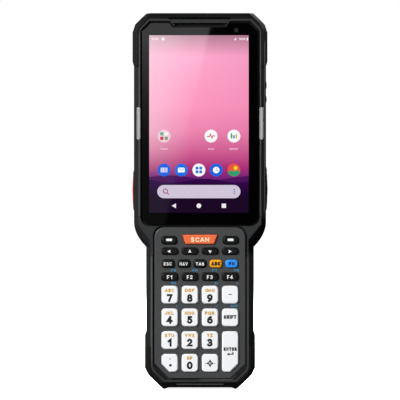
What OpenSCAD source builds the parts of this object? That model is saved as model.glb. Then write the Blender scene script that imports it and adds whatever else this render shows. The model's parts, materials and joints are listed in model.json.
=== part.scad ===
// Portable barcode data terminal: a handheld with a touch display over a 31-key keypad,
// standing upright on its feet. X runs across the front, +Z up its length, and the front faces -Y.
// All sizes are in millimetres.

/* [Body] */
// Half width of the display head
head_half = 35.5; // [35:0.1:35.9]
// Half width of the keypad grip
grip_half = 28.9; // [28.5:0.05:29.2]
// Height of the top of the housing
housing_top = 201.35; // [201:0.05:201.7]
// Height of the bottom of the housing
housing_bottom = 1.75; // [1.6:0.05:1.85]
// Front face of the housing, measured back from the middle of the depth
front_y = -14.65; // [-14.9:0.05:-14.5]
// Back face of the head and the grip
back_y = 13.2; // [12.9:0.1:13.5]
// Back face of the scanner hump
hump_y = 15.15; // [14.9:0.05:15.4]
// Wall thickness of both housings
wall = 2.4; // [2.2:0.1:2.6]
// Plane where the front housing meets the rear housing
parting_y = -6.5; // [-6.8:0.1:-6.2]

/* [Bumpers] */
// How far the bumpers stand out of the housing
bumper_out = 0.75; // [0.6:0.05:0.9]
// How far the bumpers are let into the housing
bumper_in = 1; // [0.8:0.1:1.2]
// Lower edge of the top bumper
top_bumper_z = 173.6; // [172:0.2:175]
// Upper edge of the bottom bumper on the sides and back
bottom_bumper_z = 31.6; // [30:0.2:33]
// Upper edge of the bottom bumper's front lip
lip_z = 23.1; // [22.5:0.1:24]

/* [Display] */
// Half width of the cover glass
glass_half = 31.2; // [30.9:0.1:31.4]
// Bottom edge of the cover glass
glass_bottom = 88.4; // [88.2:0.1:88.8]
// Top edge of the cover glass
glass_top = 196.7; // [196.4:0.1:196.9]
// Thickness of the cover glass
glass_t = 1.1; // [0.9:0.1:1.1]

/* [Keypad] */
// Half width of the keypad bezel
bezel_half = 24.4; // [24.2:0.1:24.6]
// Key pitch across, for the four-column rows
key_pitch_x = 10.8; // [10.7:0.05:10.9]
// Key pitch down the number pad
key_pitch_z = 12.2; // [12.1:0.05:12.3]
// Width of a number key
number_w = 8.8; // [8.6:0.1:8.9]
// Height of a number key
number_h = 9.6; // [9.4:0.1:9.8]
// Travel of every keypad key
key_travel = 0.6; // [0.4:0.1:0.6]

/* [Battery] */
// Half width of the battery pack
battery_half = 21.5; // [21:0.1:21.6]
// Bottom end of the battery pack
battery_z0 = 18; // [17.8:0.1:18.4]
// Top end of the battery pack
battery_z1 = 90; // [89.6:0.1:90]

/* [Hidden] */
$fn = 32;
far = 60;

// Clearances
gap = 0.3;
key_gap = 0.2;
fit = 0.1;

// Sections across the body: bevels at the front edges, round corners at the back
front_bevel = 2.45;
bevel_depth = 2.2;
back_round = 9;
back_depth = 8;
round_step = 22.5;
back_rim = 9.2;
neck_z0 = 76.5;
neck_z1 = 89.8;
neck_steps = 6;
ridge_w = 0.95;
shoulder_z0 = 72;
shoulder_z1 = 93;
sill_half = 12.9;
sill_h = 1.6;
sill_lip_z0 = 2.55;
sill_lip_h = 0.6;
sill_lip_out = 0.3;
bumper_taper = 2.4;

// Planes of the display and keypad stack, front to back
ridge_y = front_y - 0.5;
glass_y = front_y + 0.1;
pocket_y = glass_y + glass_t;
inner_front_y = front_y + wall;
lcd_back_y = -9.95;
frame_y = -9.9;
frame_t = 1;
frame_back_y = frame_y + frame_t;
boss_back_y = -5.5;
board_y = -4.2;
board_t = 1;
board_back_y = board_y + board_t;
engine_y = -2.4;

// Keypad stack
key_face_y = -15.9;
bezel_y = front_y - 0.25;
flange_y = pocket_y + 0.1;
flange_t = 0.5;
flange_out = 0.5;
stem_y = flange_y + 0.85;
pad_y = stem_y + key_travel + 0.05;
mat_y = pad_y + 0.3;
keypad_board_y = -10.9;
ledge = 1.2;
mat_margin = 0.5;
key_chamfer = 0.45;
bezel_chamfer = 0.35;
key_r = 1.9;
small_key_r = 1.5;
oval_key_r = 1.8;
pad_r = 1.5;

// Outline of the bezel
bezel_z0 = 5.9;
bezel_z1 = 87;
bezel_cut_x = 8;
bezel_cut_z = 14;
bezel_r = 5.2;
bezel_gap = 0.85;

// Outline of the cover glass, and the display behind it
glass_cut = 4.8;
glass_r = 5;
lcd_w = 57.2;
lcd_h = 97;
lcd_z = 142;
lcd_gap = 0.3;
front_camera = [19.4, 192.9];
front_camera_r = 1.45;

// The receiver's recess, a trapezoid, and the bar across it
receiver_half = 13.2;
receiver_slant = 4;
receiver_z0 = 194.9;
receiver_z1 = 199.6;
receiver_bar_z0 = 196.6;
receiver_bar_z1 = 198.6;
receiver_rib = 0.7;
receiver_slot_y = -12.7;
glass_margin = 0.8;

// Keypad layout. Each key: name, centre X, centre Z, width, height, shape
NAME = 0;
small_h = 4.3;
five_pitch = 8.5;
five_w = 6.6;
wide_w = 8.7;
row_4 = 50.9;
row_5 = row_4 - key_pitch_z;
row_6 = row_5 - key_pitch_z;
row_7 = row_6 - key_pitch_z;
function column(i) = (i - 1.5) * key_pitch_x;
KEYS = concat(
    [["key_soft_left", -16.5, 80.1, 8.3, small_h, "oval"]],
    [["key_scan", 0, 80.55, 18.9, 5.1, "trapezoid"]],
    [["key_soft_right", 16.5, 80.1, 8.3, small_h, "oval"]],
    row_of(["key_left", "key_up", "key_down", "key_right"], 74.25, wide_w, 3.7, "oval"),
    five_row(["key_escape", "key_mode", "key_tab", "key_alpha", "key_function"], 67.55),
    row_of(["key_f1", "key_f2", "key_f3", "key_f4"], 60.5, wide_w, small_h, "round"),
    row_of(["key_7", "key_8", "key_9", "key_minus"], row_4, number_w, number_h, "round"),
    row_of(["key_4", "key_5", "key_6", "key_shift"], row_5, number_w, number_h, "round"),
    row_of(["key_1", "key_2", "key_3"], row_6, number_w, number_h, "round"),
    [["key_enter", column(3), (row_6 + row_7) / 2, number_w, number_h + key_pitch_z, "cut_right"]],
    [["key_point", column(0), row_7, number_w, number_h, "cut_left"]],
    [["key_0", column(1), row_7, number_w, number_h, "round"]],
    [["key_light", column(2), row_7, number_w, number_h, "round"]]
);
function row_of(names, z, w, h, shape) = [
    for (i = [0 : len(names) - 1]) [names[i], column(i), z, w, h, shape]
];
function five_row(names, z) = [
    for (i = [0 : 4]) [names[i], (i - 2) * five_pitch, z, five_w, small_h, "round"]
];
corner_cut = 4.3;
scan_slant = 1.7;

// The names of all the sub-parts, and the one to draw

// Sides
trigger_z = 106.5;
trigger_h = 17.2;
side_key_h = 19.2;
side_key_z = 107.5;
trigger_y0 = -3.8;
trigger_y1 = 6.2;
trigger_out = 36.35;
trigger_dome = 0.3;
boss_out = 36.15;
boss_above = 4;
boss_below = 3.2;
boss_rise = 2.8;
boss_margin = 2;
volume_z = [156.3, 163.9];
volume_y0 = -3;
volume_y1 = 3.4;
volume_h = 5.8;
volume_dome_r = 7;
volume_out = 36.15;
inner_side = head_half - wall;
side_flat_y = back_y - back_depth;
flange_x = inner_side - 0.45;
side_flange_t = 0.6;
button_depth = 1.2;
button_slope = 1.6;
flange_margin = 1;
lens_x = 32.95;
lens_w = 2.3;
lens_z0 = 134;
lens_z1 = 151.5;
lens_back_y = inner_front_y + 1;

// Card cover on the left side, hinged at its lower edge
cover_x = -head_half;
cover_t = 1.3;
cover_y0 = -4.1;
cover_y1 = 5.1;
cover_z1 = 157.1;
hinge_z = 142.5;
hinge_x = cover_x + cover_t / 2;
hinge_pin_r = 0.4;
hinge_bore_r = 0.45;
hinge_pin_len = 0.8;
slot_y0 = -2.65;
slot_y1 = 3.65;
slot_z0 = 145.2;
slot_z1 = 155.2;
plug_x = 31.6;
card_x0 = 20.5;
card_x1 = 31.2;

// Back
bay_floor_y = 2.7;
bay_wall = 1.5;
lock_x = -2;
lock_half = 6;
lock_z0 = 94.5;
lock_z1 = 100.5;
lock_floor_y = 9.8;
lock_plate_y = 11.1;
lock_plate_out = 1;
contacts_half = 9;
contacts_z0 = 22;
contacts_z1 = 28;
contacts_y0 = -1;
contact_count = 5;
contact_pitch = 3.4;
contact_w = 1.6;
grip_grooves = 4;
grip_pitch = 2.6;
grip_z = 80;
grip_w = 26;
grip_h = 1.2;
grip_depth = 0.5;
lock_travel = 4;
lock_wall = 10;
tongue_half = 1.9;
tongue_z = battery_z1 + 0.5;
lip_x = 2;
lip_y = 9.6;
lip_rise = 1.6;
knob_ribs = 5;
knob_pitch = 2;
knob_rib_w = 0.8;
knob_rib_h = 0.6;
knob_inset = 0.8;
camera_z = 168;
camera_half = 10;
camera_h = 11;
camera_x = -3.6;
flash_x = 4.2;
camera_corner = 3;
camera_slot = [15, 6.4];
camera_barrel_r = 2.9;
flash_barrel_r = 1.8;
camera_base_y = 9.6;
camera_base_t = 1.2;
camera_base_half = 4;
speaker_z = 122;
grille_slots = 5;
grille_pitch = 2.4;
grille_w = 13;
grille_h = 1.1;
speaker_half = [8, 7];
speaker_y0 = 6;
strap_x = 19;
strap_z = 136;
strap_bore_r = 1.25;
strap_bore_len = 5;
strap_boss_r = 2.9;
SCREWS = [
    [-27, 166, hump_y - 3.6], [27, 166, hump_y - 3.6],
    [-27, 108, back_y - 3.6], [27, 108, back_y - 3.6],
    [-16.5, 11.5, back_y - 3.8], [16.5, 11.5, back_y - 3.8]
];
BOARD_POSTS = [[-20, 102], [20, 102], [-20, 170], [20, 170]];
ENGINE_POSTS = [[-8, 184], [8, 184]];
post_r = 2;
engine_half = 11;
engine_back_y = 8.4;
engine_z0 = 177;
engine_z1 = 192;
ENGINE_BARRELS = [[4, 3.4, 3], [-5, 2.4, 2]];
frame_z0 = 6.5;
frame_z1 = 196;
board_half = 23.2;
board_z0 = 96;
board_z1 = 174;
SHIELD_CANS = [[-18, 126, 4, 143, 1.8], [6, 100, 20, 122, 1.6], [-17, 100, 2, 116, 1.6]];
screw_head_r = 2.3;
screw_r = 1.25;
screw_tip_y = -8.2;
screw_tube_r = 3.4;
screw_post_r = 3;
screw_head_h = 2;
screw_drive = 2.6;

// Ends
usb_y = -1;
usb_half = 4.6;
usb_h = 3.2;
usb_len = 7;
usb_wall = 0.35;
usb_tongue = [6.4, 0.7];
usb_room = [2.5, 3.8];
toe_x = 19.4;
toe_flat = 0.4;
toe_in = 16.2;
toe_half_y = 10;
window_half = 13;
window_y0 = -3.2;
window_y1 = 8.2;
window_z = 199;
window_t = 0.9;
window_seat = 1.3;
window_rim = 1.8;

// Steps up the body: half width, height, front plane, back plane
function lerp(a, b, t) = a + (b - a) * t;
function neck_width(z) =
    let (below = (neck_z1 - z) / (neck_z1 - neck_z0))
        lerp(head_half, grip_half, below * below);
foot_low = [20.5, housing_bottom];
foot_high = [27.15, 8.3];
crown_low = [34.2, 195.55];
crown_high = [28.45, housing_top];
foot_mid = lerp(foot_low, foot_high, 0.4);
crown_mid = lerp(crown_low, crown_high, 0.58);
STEPS = concat(
    [[foot_low.x, foot_low.y, front_y + bevel_depth, 10]],
    [[foot_mid.x, foot_mid.y, front_y, 11.6]],
    [[foot_high.x, foot_high.y, front_y, 12.7]],
    [[grip_half, 11.8, front_y, back_y]],
    [
        for (i = [0 : neck_steps])
            let (z = lerp(neck_z0, neck_z1, i / neck_steps))
                [neck_width(z), z, front_y, back_y]
    ],
    [[head_half, 147, front_y, back_y]],
    [[head_half, 156, front_y, hump_y]],
    [[head_half, 191.5, front_y, hump_y]],
    [[crown_low.x, crown_low.y, front_y, 14.7]],
    [[crown_mid.x, crown_mid.y, front_y, 13.6]],
    [[crown_high.x, crown_high.y, front_y + bevel_depth, 11.6]]
);

// The steps moved inwards by d, as [half width, height], or outwards where d is negative
function unit(v) = v / norm(v);
function outward(a, b) = let (t = unit(b - a)) [t.y, -t.x];
function moved(a, p, b, d) = let (m = outward(a, p), n = outward(p, b)) p - d * (m + n) / (1 + m * n);
function side_point(i) = i < 0
    ? [0, housing_bottom]
    : i >= len(STEPS) ? [0, housing_top] : [STEPS[i][0], STEPS[i][1]];
function side(d) = [
    for (i = [0 : len(STEPS) - 1]) moved(side_point(i - 1), side_point(i), side_point(i + 1), d)
];
function mirrored(half) = concat(half, [for (i = [len(half) - 1 : -1 : 0]) [-half[i][0], half[i][1]]]);
function outline(d) = mirrored(side(d));

// One section across the body, front bevel and round back corners, as points in X and Y
function section(w, y0, y1, d) = mirrored(concat(
    [[w - front_bevel, y0], [w, y0 + bevel_depth]],
    [
        for (a = [0 : round_step : 90])
            [w - (back_round - d) * (1 - cos(a)), y1 - (back_depth - d) * (1 - sin(a))]
    ]
));
section_points = len(section(head_half, front_y, back_y, 0));

// Fills a 2D shape drawn in X and Z from y0 to y1
module slab(y0, y1) {
    translate([0, y1, 0])
        rotate([90, 0, 0])
            linear_extrude(y1 - y0)
                children();
}

// Fills a 2D shape drawn in Y and Z from x0 to x1
module slab_x(x0, x1) {
    translate([x0, 0, 0])
        rotate([90, 0, 90])
            linear_extrude(x1 - x0)
                children();
}

// A block from its low corner to its high corner
module block(low, high) {
    translate(low)
        cube(high - low);
}

// A round bar along Y
module bar_y(x, z, y0, y1, r) {
    translate([x, y0, z])
        rotate([-90, 0, 0])
            cylinder(r = r, h = y1 - y0);
}

// The body's solid, moved inwards by d
module skin(d) {
    path = side(d);
    rings = [
        for (i = [0 : len(STEPS) - 1])
            section(path[i][0], STEPS[i][2] + d, STEPS[i][3] - d, max(d, -1))
    ];
    n = section_points;
    last = len(STEPS) - 1;
    points = [for (i = [0 : last]) for (p = rings[i]) [p.x, p.y, path[i][1]]];
    bottom = [for (j = [0 : n - 1]) j];
    top = [for (j = [n - 1 : -1 : 0]) last * n + j];
    sides = [
        for (i = [0 : last - 1]) for (j = [0 : n - 1])
            [i * n + j, (i + 1) * n + j, (i + 1) * n + (j + 1) % n, i * n + (j + 1) % n]
    ];
    polyhedron(points, concat([bottom, top], sides));
}

// The height that the top bumper covers
module top_zone() {
    block([-far, -far, top_bumper_z], [far, far, housing_top + 10]);
}

// The height that the bottom bumper covers, which is less on the front
module bottom_zone() {
    block([-far, front_y + bevel_depth, -10], [far, far, bottom_bumper_z]);
    block([-far, -far, -10], [far, front_y + bevel_depth + 0.01, lip_z]);
}

// The front and back faces that the bumpers leave open, grown by g
module open_faces(g) {
    slab(-far, front_y + bevel_depth + 0.5)
        polygon(outline(front_bevel - g));
    slab(back_y - 6, far)
        polygon(outline(back_rim - g));
}

// The housing, let in where the bumpers cover it
module shell_outside() {
    union() {
        difference() {
            skin(0);
            difference() {
                union() {
                    top_zone();
                    bottom_zone();
                }
                open_faces(0);
            }
        }
        skin(bumper_in);
    }
}

// Half of the shell, in front of or behind the parting plane
module half_shell(y0, y1) {
    difference() {
        intersection() {
            shell_outside();
            block([-far, y0, -10], [far, y1, housing_top + 10]);
        }
        skin(wall);
    }
}

// A rounded rectangle around its centre
module rounded(w, h, r) {
    square([w - 2 * r, h], center = true);
    square([w, h - 2 * r], center = true);
    for (x = [-1, 1])
        for (z = [-1, 1])
            translate([x * (w / 2 - r), z * (h / 2 - r)])
                circle(r);
}

// The cover glass's edge, grown by g: cut top corners, round bottom corners and the receiver's notch
module glass_shape(g) {
    w = glass_half + g;
    z0 = glass_bottom - g;
    z1 = glass_top + g;
    difference() {
        union() {
            polygon([
                [-w, z0 + glass_r], [w, z0 + glass_r], [w, z1 - glass_cut], [w - glass_cut, z1],
                [-w + glass_cut, z1], [-w, z1 - glass_cut]
            ]);
            translate([-w + glass_r, z0])
                square([2 * (w - glass_r), glass_r + 0.1]);
            for (x = [-1, 1])
                translate([x * (w - glass_r), z0 + glass_r])
                    circle(glass_r);
        }
        receiver_shape(receiver_rib + glass_margin - g, 0.5 - g);
    }
}

// The recess round the receiver, grown by g at the sides and by down at the lower edge
module receiver_shape(g, down = 0) {
    low = receiver_half + g;
    high = low + receiver_slant;
    z0 = receiver_z0 - down;
    polygon([[-low, z0], [low, z0], [high, receiver_z1], [-high, receiver_z1]]);
}

// The keypad bezel's edge, grown by g: round top corners and cut bottom corners
module bezel_shape(g) {
    w = bezel_half + g;
    z0 = bezel_z0 - g;
    z1 = bezel_z1 + g;
    polygon([
        [-w, bezel_cut_z], [-w + bezel_cut_x, z0], [w - bezel_cut_x, z0], [w, bezel_cut_z],
        [w, z1 - bezel_r], [-w, z1 - bezel_r]
    ]);
    translate([-w + bezel_r, z1 - bezel_r - 0.1])
        square([2 * (w - bezel_r), bezel_r + 0.1]);
    for (x = [-1, 1])
        translate([x * (w - bezel_r), z1 - bezel_r])
            circle(bezel_r);
}

// The corner radius of a key: less on the small ones
function key_corner_r(key) = key[4] < number_h ? small_key_r : key_r;

// One key's edge, grown by g
module key_shape(key, g) {
    w = key[3] + 2 * g;
    h = key[4] + 2 * g;
    shape = key[5];
    translate([key[1], key[2]]) {
        if (shape == "trapezoid")
            polygon([
                [-w / 2 + scan_slant, -h / 2], [w / 2 - scan_slant, -h / 2], [w / 2, h / 2], [-w / 2, h / 2]
            ]);
        if (shape == "oval")
            rounded(w, h, min(h / 2 - 0.2, oval_key_r));
        if (shape == "round")
            rounded(w, h, key_corner_r(key) + g / 2);
        if (shape == "cut_left" || shape == "cut_right")
            mirror([shape == "cut_left" ? 1 : 0, 0])
                difference() {
                    rounded(w, h, key_corner_r(key) + g / 2);
                    translate([w / 2, -h / 2])
                        rotate(45)
                            square(corner_cut * sqrt(2), center = true);
                }
    }
}

// A pin hole or a pin in line with the card cover's hinge, out of each end
module hinge_ends(r, extra) {
    bar_y(hinge_x, hinge_z, cover_y0 - hinge_pin_len - extra, cover_y0 + 0.1, r);
    bar_y(hinge_x, hinge_z, cover_y1 - 0.1, cover_y1 + hinge_pin_len + extra, r);
}

module front_housing() {
    color("#333436")
        difference() {
            union() {
                half_shell(-far, parting_y);
                front_face_relief();
            }
            slab(-far, pocket_y) glass_shape(glass_margin);
            slab(-far, pocket_y) bezel_shape(bezel_gap);
            slab(-far, pocket_y) receiver_shape(0);
            receiver_slot();
            slab(-far, frame_y) lcd_shape(lcd_gap);
            slab(-far, frame_y) bezel_shape(-ledge);
            bar_y(front_camera.x, front_camera.y, -far, frame_y, front_camera_r + fit);
            lens_cut();
        }
}

// The display's edge, grown by g
module lcd_shape(g) {
    translate([0, lcd_z])
        square([lcd_w + 2 * g, lcd_h + 2 * g], center = true);
}

// The slot below the receiver's bar, which lets its sound out
module receiver_slot() {
    half = receiver_half - 0.4;
    block([-half, -far, receiver_z0 + 0.2], [half, receiver_slot_y, receiver_bar_z0 - 0.1]);
}

// The ridge round the front face and beside the receiver, and the shoulder between display and keypad
module front_face_relief() {
    slab(ridge_y, front_y + 0.2) {
        difference() {
            polygon(outline(front_bevel));
            difference() {
                polygon(outline(front_bevel + ridge_w));
                translate([-far, shoulder_z0])
                    square([2 * far, shoulder_z1 - shoulder_z0]);
            }
        }
        translate([-sill_half, housing_bottom + front_bevel])
            square([2 * sill_half, sill_h]);
        intersection() {
            polygon(outline(front_bevel));
            receiver_shape(receiver_rib);
        }
    }
}

// Openings for the two light bars
module lens_cut() {
    for (x = [-1, 1])
        slab(-far, lens_back_y)
            translate([x * lens_x, (lens_z0 + lens_z1) / 2])
                rounded(lens_w + fit, lens_z1 - lens_z0 + fit, lens_w / 2);
}

module rear_housing() {
    color("#2b2c2e")
        difference() {
            union() {
                half_shell(parting_y, far);
                intersection() {
                    shell_outside();
                    union() {
                        bay_block();
                        screw_tubes();
                        strap_bosses();
                    }
                }
                side_boss(-1, trigger_z, trigger_h);
                side_boss(1, side_key_z, side_key_h);
            }
            battery_bay();
            lock_pocket();
            screw_holes();
            side_cuts();
            card_cuts();
            back_cuts();
            end_cuts();
        }
}

// Walls round the battery bay and the lock's pocket
module bay_block() {
    w = battery_half + gap + bay_wall;
    top = battery_z1 + lip_rise + gap + bay_wall;
    block([-w, bay_floor_y - bay_wall, battery_z0 - gap - bay_wall], [w, far, top]);
    block([-lock_wall, lock_floor_y - bay_wall, battery_z1 + gap], [lock_wall, far, lock_z1 + 2.6]);
}

module battery_space() {
    w = battery_half + gap;
    block([-w, bay_floor_y, battery_z0 - gap], [w, far, battery_z1 + gap]);
    block([lip_x - gap, bay_floor_y, battery_z1], [w, far, battery_z1 + lip_rise + gap]);
}

module battery_bay() {
    battery_space();
    block(
        [-contacts_half - fit, contacts_y0 - fit, contacts_z0 - fit],
        [contacts_half + fit, bay_floor_y + 1, contacts_z1 + fit]
    );
}

// The lock slides across in this pocket under its two rails, and its tongue reaches over the battery's lip
module lock_pocket() {
    w = lock_half + lock_travel / 2 + gap;
    rail_y = lock_plate_y + fit;
    edge = lock_plate_out + 0.2;
    tongue_end = lock_x + tongue_half + lock_travel + gap;
    block([-w, lock_floor_y, lock_z0 - edge], [w, rail_y, lock_z1 + edge]);
    block([-w, rail_y - 0.1, lock_z0 - 0.2], [w, far, lock_z1 + 0.2]);
    block([lock_x - tongue_half - gap, lock_floor_y, battery_z1], [tongue_end, far, lock_z0 - edge + 0.1]);
}

module screw_tubes() {
    for (s = SCREWS)
        bar_y(s[0], s[1], boss_back_y + 0.1, s[2] + 1, screw_tube_r);
}

module strap_bosses() {
    for (x = [-strap_x, strap_x])
        bar_y(x, strap_z, back_y - strap_bore_len - 1.2, back_y, strap_boss_r);
}

// A raised surround for a key on the side, s being -1 on the left and 1 on the right
module side_boss(s, z, h) {
    low = z - h / 2 - boss_below;
    high = z + h / 2 + boss_above;
    slab(trigger_y0 - boss_margin, trigger_y1 + boss_margin)
        polygon([
            [s * (inner_side + 0.2), low], [s * (head_half - 0.1), low], [s * boss_out, low + boss_rise],
            [s * boss_out, high - boss_rise], [s * (head_half - 0.1), high], [s * (inner_side + 0.2), high]
        ]);
}

module screw_holes() {
    for (s = SCREWS) {
        bar_y(s[0], s[1], -far, far, screw_r + 0.15);
        bar_y(s[0], s[1], s[2], far, screw_head_r + 0.3);
    }
}

// Openings for the trigger, the side key and the volume keys
module side_cuts() {
    block(
        [-far, trigger_y0 - key_gap, trigger_z - trigger_h / 2 - key_gap],
        [-inner_side + 1, trigger_y1 + key_gap, trigger_z + trigger_h / 2 + key_gap]
    );
    block(
        [inner_side - 1, trigger_y0 - key_gap, side_key_z - side_key_h / 2 - key_gap],
        [far, trigger_y1 + key_gap, side_key_z + side_key_h / 2 + key_gap]
    );
    for (z = volume_z)
        block(
            [inner_side - 1, volume_y0 - key_gap, z - volume_h / 2 - key_gap],
            [far, volume_y1 + key_gap, z + volume_h / 2 + key_gap]
        );
}

// The card cover's recess, its slot through the wall and the hinge's two pin holes
module card_cuts() {
    block([-far, cover_y0 - gap, hinge_z - 1], [cover_x + cover_t + 0.1, cover_y1 + gap, cover_z1 + gap]);
    block([-far, slot_y0, slot_z0], [-inner_side + 1, slot_y1, slot_z1]);
    hinge_ends(hinge_bore_r, 0.1);
}

// The camera window's recess, the loudspeaker's slots and the two strap holes
module back_cuts() {
    slab(hump_y - 1, far)
        translate([0, camera_z])
            rounded(2 * camera_half + 2 * fit, camera_h + 2 * fit, camera_corner);
    slab(0, far)
        translate([0, camera_z])
            rounded(camera_slot.x, camera_slot.y, camera_slot.y / 2 - fit);
    for (i = [0 : grille_slots - 1])
        slab(back_y - 2 * wall, far)
            translate([0, speaker_z + (i - (grille_slots - 1) / 2) * grille_pitch])
                rounded(grille_w, grille_h, grille_h / 2 - 0.05);
    for (x = [-strap_x, strap_x])
        bar_y(x, strap_z, back_y - strap_bore_len, far, strap_bore_r);
}

// The scan window's seat at the top, and the charging socket's hole at the bottom
module end_cuts() {
    block([-window_half - fit, window_y0 - fit, window_z], [window_half + fit, window_y1 + fit, far * 4]);
    block(
        [-window_half + window_seat, window_y0 + window_seat, engine_z1 - 2],
        [window_half - window_seat, window_y1 - window_seat, far * 4]
    );
    usb_hole(0.2);
}

// A hole for the charging socket, grown by g
module usb_hole(g) {
    translate([0, usb_y, -1])
        linear_extrude(12)
            rounded(2 * usb_half + 2 * g, usb_h + 2 * g, usb_h / 2 + g - 0.01);
}

// A bumper's rubber: the skin moved out, less the housing and the open faces
module bumper_skin() {
    difference() {
        skin(-bumper_out);
        skin(bumper_in);
        open_faces(0.02);
    }
}

// Tapers a bumper's edge at the height z, by rise, on both sides and the back
module edge_taper(half, back, z, rise) {
    out = 2 * bumper_out;
    below = z - sign(rise);
    for (s = [-1, 1])
        slab(-far, far)
            polygon([
                [s * half, z], [s * half, below], [s * (half + out), below], [s * (half + out), z + 2 * rise]
            ]);
    slab_x(-far, far)
        polygon([[back, z], [back, below], [back + out, below], [back + out, z + 2 * rise]]);
}

module top_bumper() {
    color("#161617")
        difference() {
            intersection() {
                bumper_skin();
                top_zone();
            }
            edge_taper(head_half, hump_y, top_bumper_z, bumper_taper);
            slab(-far, pocket_y)
                receiver_shape(0);
            block(
                [-window_half - window_rim, window_y0 - window_rim, crown_low.y - 5],
                [window_half + window_rim, window_y1 + window_rim, far * 4]
            );
        }
}

module bottom_bumper() {
    color("#161617")
        difference() {
            union() {
                intersection() {
                    bumper_skin();
                    bottom_zone();
                }
                toes();
                sill_lip();
            }
            edge_taper(grip_half, back_y, bottom_bumper_z, -bumper_taper);
            battery_space();
            screw_holes();
            block(
                [-usb_half - usb_room.x, usb_y - usb_room.y, -1],
                [usb_half + usb_room.x, usb_y + usb_room.y, housing_bottom + bumper_in + 2]
            );
        }
}

// A lip along the front of the bottom bumper, over the charging socket
module sill_lip() {
    difference() {
        intersection() {
            skin(-bumper_out - sill_lip_out);
            block([-sill_half, -far, sill_lip_z0], [sill_half, parting_y, sill_lip_z0 + sill_lip_h]);
        }
        skin(bumper_in);
        open_faces(0.02);
    }
}

// The two feet that the terminal stands on: each goes on down in line with the bumper's slanted corner
module toes() {
    top = housing_bottom + bumper_in - 0.1;
    sole = housing_bottom - bumper_out;
    out = toe_x + toe_flat + sole;
    for (s = [-1, 1])
        slab(-toe_half_y, toe_half_y)
            polygon([
                [s * toe_in, top], [s * toe_in, sole], [s * (toe_x - toe_flat), 0],
                [s * (toe_x + toe_flat), 0], [s * out, sole], [s * out, top]
            ]);
}

module keypad_bezel() {
    color("#474849")
        difference() {
            hull() {
                slab(bezel_y, bezel_y + 0.01)
                    bezel_shape(-bezel_chamfer);
                slab(bezel_y + bezel_chamfer, pocket_y)
                    bezel_shape(0);
            }
            for (key = KEYS)
                slab(-far, far)
                    key_shape(key, key_gap);
        }
}

module display_glass() {
    color("#101114")
        slab(glass_y, pocket_y)
            glass_shape(0);
}

module lcd_module() {
    color("#55306b")
        slab(pocket_y + 0.05, lcd_back_y)
            lcd_shape(0);
}

module receiver_cover() {
    color("#3a3b3c")
        slab(ridge_y + 0.1, pocket_y)
            intersection() {
                receiver_shape(-0.1, -0.1);
                translate([-far, receiver_bar_z0])
                    square([2 * far, receiver_bar_z1 - receiver_bar_z0]);
            }
}

module indicator_lenses() {
    color("#c4c8cc")
        for (x = [-1, 1])
            slab(ridge_y - 0.1, lens_back_y)
                translate([x * lens_x, (lens_z0 + lens_z1) / 2])
                    rounded(lens_w, lens_z1 - lens_z0, lens_w / 2 - 0.05);
}

// The chassis behind the display and keypad, with a threaded boss for each housing screw
module mid_frame() {
    color("#8d9194")
        difference() {
            union() {
                slab(frame_y, frame_back_y)
                    intersection() {
                        polygon(outline(wall + 0.4));
                        translate([-far, frame_z0])
                            square([2 * far, frame_z1 - frame_z0]);
                    }
                for (s = SCREWS)
                    bar_y(s[0], s[1], frame_y, boss_back_y, screw_post_r);
                for (p = BOARD_POSTS)
                    bar_y(p.x, p.y, frame_y, board_y, post_r);
                for (p = ENGINE_POSTS)
                    bar_y(p.x, p.y, frame_y, engine_y, post_r);
            }
            for (s = SCREWS)
                bar_y(s[0], s[1], screw_tip_y - 0.3, far, screw_r + 0.05);
        }
}

// The main board with its shield cans, each given by its corners and its height
module main_board() {
    color("#1f5a3c")
        union() {
            block([-board_half, board_y, board_z0], [board_half, board_back_y, board_z1]);
            for (can = SHIELD_CANS)
                block([can[0], board_back_y - 0.1, can[1]], [can[2], board_back_y + can[4], can[3]]);
        }
}

module keypad_board() {
    color("#1f5a3c")
        slab(keypad_board_y, frame_y - 0.05)
            bezel_shape(-mat_margin);
}

// The silicone mat, with a pad under each key and a rim that seals against the front housing
module keypad_mat() {
    color("#d8dadb")
        union() {
            slab(mat_y, keypad_board_y)
                bezel_shape(-mat_margin);
            for (key = KEYS)
                bar_y(key[1], key[2], pad_y, mat_y + 0.1, pad_r);
            slab(inner_front_y + 0.05, mat_y + 0.1)
                difference() {
                    bezel_shape(-mat_margin);
                    bezel_shape(-ledge);
                }
        }
}

module scan_window() {
    color("#3a1014")
        block([-window_half, window_y0, window_z], [window_half, window_y1, window_z + window_t]);
}

// The barcode reader: a block with its lens barrel and aiming barrel facing up
module scan_engine() {
    color("#202226")
        union() {
            block([-engine_half, engine_y, engine_z0], [engine_half, engine_back_y, engine_z1]);
            for (b = ENGINE_BARRELS)
                translate([b[0], (window_y0 + window_y1) / 2, engine_z1 - fit])
                    cylinder(r = b[1], h = b[2]);
        }
}

module camera_window() {
    color("#0c0d10")
        slab(hump_y - 1, hump_y - 0.1)
            translate([0, camera_z])
                rounded(2 * camera_half, camera_h, camera_corner);
}

// The front camera behind the cover glass, and the rear camera and its light behind their window
module camera_modules() {
    color("#15161a") {
        bar_y(front_camera.x, front_camera.y, pocket_y + 0.05, frame_y - 0.05, front_camera_r);
        bar_y(camera_x, camera_z, camera_base_y, hump_y - 1, camera_barrel_r);
        bar_y(flash_x, camera_z, camera_base_y, hump_y - 1, flash_barrel_r);
        block(
            [camera_x - camera_base_half, camera_base_y - camera_base_t, camera_z - camera_base_half],
            [flash_x + flash_barrel_r + 0.8, camera_base_y + fit, camera_z + camera_base_half]
        );
    }
}

module loudspeaker() {
    color("#26282b")
        block(
            [-speaker_half.x, speaker_y0, speaker_z - speaker_half.y],
            [speaker_half.x, back_y - wall - 0.05, speaker_z + speaker_half.y]
        );
}

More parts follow.
